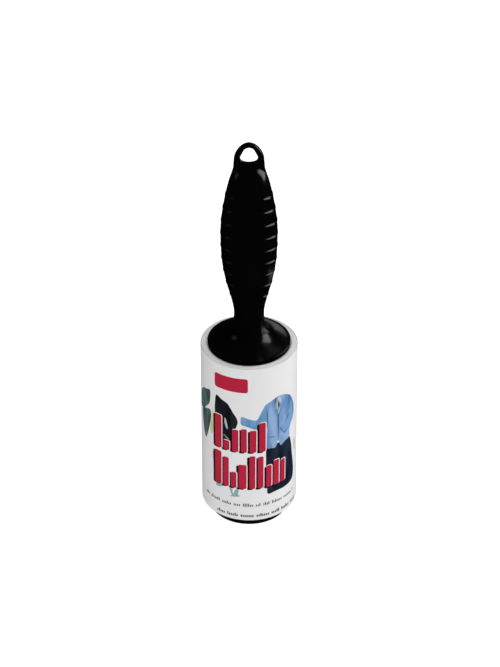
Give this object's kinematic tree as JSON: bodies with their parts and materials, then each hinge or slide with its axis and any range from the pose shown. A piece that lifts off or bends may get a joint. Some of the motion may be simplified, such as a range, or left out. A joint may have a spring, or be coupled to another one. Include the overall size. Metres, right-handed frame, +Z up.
{
  "type": "lint roller",
  "caption": "Hand-held adhesive lint roller: ribbed plastic handle with a hanging loop, free-turning hub and slide-on roll of sticky sheets in a printed paper sleeve.",
  "frame": {"origin": "centre of the end cap's flat foot, on the roller's turning axis", "axes": "+Z up the turning axis towards the hanging loop, the loop's hole faces -Y and +Y, the printed front faces -Y"},
  "size_m": [0.0524, 0.0524, 0.232],
  "materials": {
    "handle_plastic": "glossy moulded black",
    "hub_plastic": "satin moulded black",
    "spindle_plastic": "natural white moulding",
    "clip_steel": "spring steel",
    "cardboard": "spiral-wound pale grey board",
    "adhesive_paper": "wound edge of adhesive-coated paper",
    "wrapper_paper": null
  },
  "bodies": {
    "handle": {"handle_front_shell": "handle_plastic", "handle_rear_shell": "handle_plastic", "spindle": "spindle_plastic", "spindle_clip": "clip_steel"},
    "hub": {"hub_sleeve": "hub_plastic", "hub_end_cap": "hub_plastic"},
    "tape_roll": {"core_tube": "cardboard", "adhesive_roll": "adhesive_paper", "wrapper": "wrapper_paper"}
  },
  "joints": [
    {"name": "hub_spin", "type": "hinge", "parent": "handle", "child": "hub", "pos_m": [0, 0, 0], "axis": [0, 0, 1], "continuous": true},
    {"name": "roll_slide", "type": "slide", "parent": "hub", "child": "tape_roll", "axis": [0, 0, -1], "range_m": [0, 0.108]}
  ]
}
